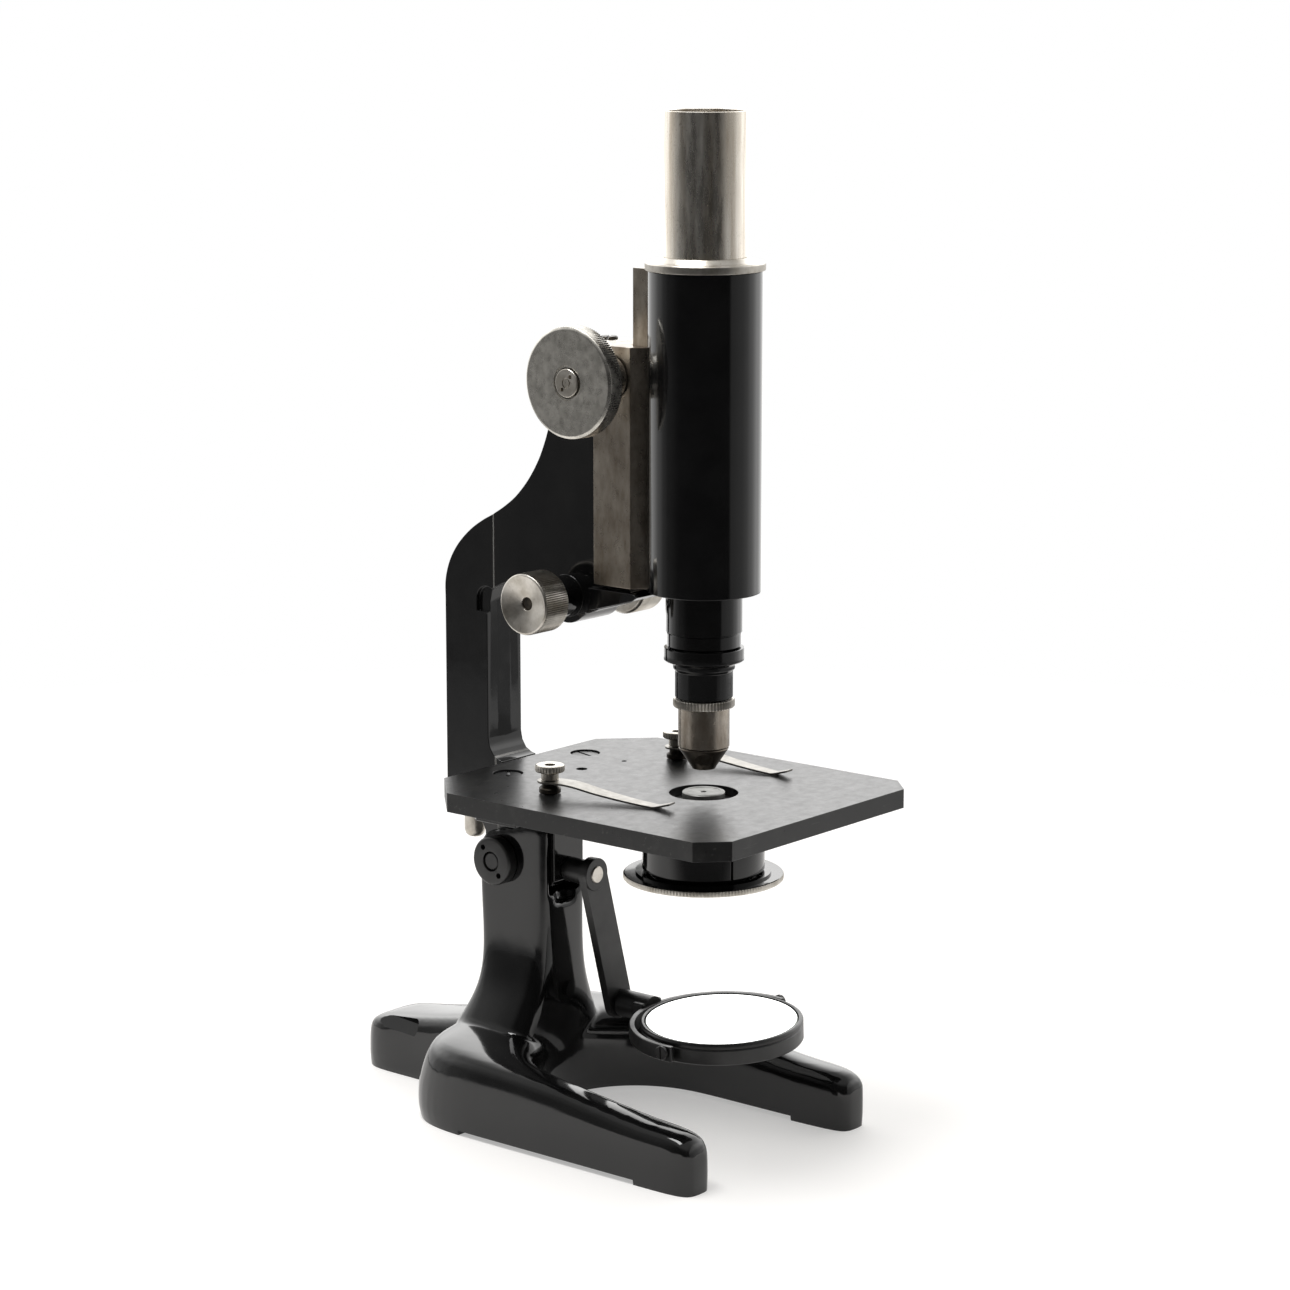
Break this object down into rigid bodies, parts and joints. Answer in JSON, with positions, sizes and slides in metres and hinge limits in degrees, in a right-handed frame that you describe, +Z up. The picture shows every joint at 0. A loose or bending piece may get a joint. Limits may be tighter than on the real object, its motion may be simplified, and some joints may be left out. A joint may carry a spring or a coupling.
{
  "type": "compound microscope",
  "caption": "Antique compound microscope: horseshoe foot, inclining limb, rack focusing tube, square stage with clips and swinging mirror.",
  "frame": {"origin": "centre of the bounding box at the underside of the foot", "axes": "+Z up, front of the instrument towards -Y, +X to the right when seen from the front"},
  "size_m": [0.1022, 0.182, 0.32],
  "materials": {
    "enamel": "black gloss enamel",
    "satin_black": "satin black lacquer",
    "blackened": "blackened metal, worn",
    "nickel": "satin nickel plate with patina",
    "warm_nickel": "warm worn nickel plate",
    "steel": "bright steel",
    "mirror_glass": "silvered glass",
    "lens": "clear glass"
  },
  "bodies": {
    "foot": {"foot_casting": "enamel", "hinge_axle": "blackened", "hinge_nut_left": "satin_black", "hinge_nut_right": "satin_black"},
    "limb": {"limb": "enamel", "focus_head": "enamel", "stage_plate": "satin_black", "stage_screw_left": "satin_black", "stage_screw_right": "satin_black", "stop_screw": "nickel", "substage_sleeve": "satin_black", "mirror_bracket": "satin_black", "arm_screw": "nickel"},
    "fine_slide": {"bearing_block": "warm_nickel", "head_cap": "nickel", "head_cap_screw": "blackened"},
    "fine_spindle": {"fine_spindle": "steel", "fine_knob_left": "nickel", "fine_knob_right": "nickel"},
    "coarse_pinion": {"coarse_pinion": "steel", "coarse_knob_left": "nickel", "coarse_knob_right": "nickel", "coarse_nut_left": "nickel", "coarse_nut_right": "nickel"},
    "tube": {"slide_bar": "warm_nickel", "rack": "steel", "body_tube": "enamel", "top_collar": "nickel", "guide_sleeve": "nickel", "nose_tube": "enamel", "nose_ring": "satin_black", "nose_adapter": "enamel", "objective_ring": "nickel", "objective_barrel": "nickel", "objective_cone": "blackened", "front_lens": "lens", "rear_lens": "lens"},
    "drawtube": {"drawtube": "nickel", "drawtube_diaphragm": "satin_black"},
    "clip_left": {"clip_strip_left": "steel", "clip_post_left": "blackened", "clip_screw_left": "nickel"},
    "clip_right": {"clip_strip_right": "steel", "clip_post_right": "blackened", "clip_screw_right": "nickel"},
    "diaphragm": {"diaphragm_tube": "satin_black", "diaphragm_disc": "nickel", "diaphragm_cap": "satin_black"},
    "mirror_arm": {"mirror_arm": "satin_black"},
    "mirror_fork": {"mirror_fork": "satin_black", "fork_screw_left": "blackened", "fork_screw_right": "blackened"},
    "mirror": {"mirror_ring": "satin_black", "mirror_flat": "mirror_glass", "mirror_concave": "mirror_glass"}
  },
  "joints": [
    {"name": "inclination", "type": "hinge", "parent": "foot", "child": "limb", "pos_m": [0, 0.0296, 0.0804], "axis": [-1, 0, 0], "range_deg": [0, 55]},
    {"name": "fine_focus_turn", "type": "hinge", "parent": "limb", "child": "fine_spindle", "pos_m": [0, 0.0021, 0.1692], "axis": [1, 0, 0], "range_deg": [-1080, 1080]},
    {"name": "fine_focus_slide", "type": "slide", "parent": "limb", "child": "fine_slide", "axis": [0, 0, 1], "range_m": [-0.0012, 0.0012]},
    {"name": "coarse_focus_turn", "type": "hinge", "parent": "fine_slide", "child": "coarse_pinion", "pos_m": [0, -0.0179, 0.2393], "axis": [1, 0, 0], "range_deg": [-859, 114]},
    {"name": "coarse_focus_slide", "type": "slide", "parent": "fine_slide", "child": "tube", "axis": [0, 0, 1], "range_m": [-0.006, 0.045]},
    {"name": "drawtube_slide", "type": "slide", "parent": "tube", "child": "drawtube", "axis": [0, 0, 1], "range_m": [-0.034, 0.03]},
    {"name": "clip_left_turn", "type": "hinge", "parent": "limb", "child": "clip_left", "pos_m": [-0.031, -0.0103, 0.112], "axis": [0, 0, 1], "range_deg": [-60, 20]},
    {"name": "clip_right_turn", "type": "hinge", "parent": "limb", "child": "clip_right", "pos_m": [0.031, -0.0103, 0.112], "axis": [0, 0, 1], "range_deg": [-20, 60]},
    {"name": "diaphragm_slide", "type": "slide", "parent": "limb", "child": "diaphragm", "axis": [0, 0, 1], "range_m": [-0.014, 0]},
    {"name": "mirror_arm_swing", "type": "hinge", "parent": "limb", "child": "mirror_arm", "pos_m": [0, -0.0014, 0.0786], "axis": [0, 1, 0], "range_deg": [-25, 45]},
    {"name": "mirror_fork_turn", "type": "hinge", "parent": "mirror_arm", "child": "mirror_fork", "pos_m": [0.01248, -0.003, 0.0336], "axis": [0, 1, 0], "range_deg": [-28, 8]},
    {"name": "mirror_tilt", "type": "hinge", "parent": "mirror_fork", "child": "mirror", "pos_m": [0.0125, -0.0436, 0.0335], "axis": [0.999, 0, 0.0454], "range_deg": [-36, 36]}
  ],
  "couplings": [
    {"joint": "fine_focus_slide", "follows": "fine_focus_turn", "m_per_rad": 0.000063},
    {"joint": "coarse_focus_slide", "follows": "coarse_focus_turn", "m_per_rad": -0.003}
  ]
}
